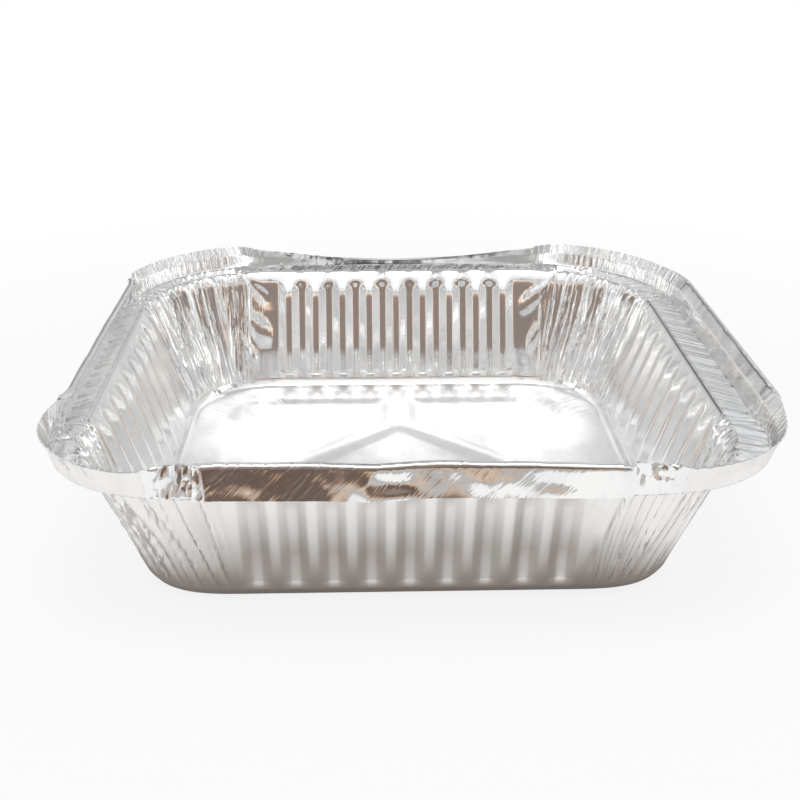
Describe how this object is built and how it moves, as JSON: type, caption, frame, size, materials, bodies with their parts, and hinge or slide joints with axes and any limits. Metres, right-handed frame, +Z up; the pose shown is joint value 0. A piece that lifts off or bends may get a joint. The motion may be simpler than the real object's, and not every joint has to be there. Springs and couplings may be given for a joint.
{
  "type": "foil food container",
  "caption": "Square pressed aluminium foil tray with ribbed sloping walls, pleated corners, a flat shelf and a hemmed upright rim",
  "frame": {"origin": "the middle of the underside, on the flat bottom of the middle panel", "axes": "+Z is up, out of the mouth; +Y is towards the back wall, whose rim is bent outwards; +X is to the right"},
  "size_m": [0.2209, 0.2267, 0.0567],
  "materials": {
    "foil": "thin pressed foil, bright on the inside face and satin on the outside face"
  },
  "bodies": {
    "root": {"foil_tray": "foil"}
  },
  "joints": []
}
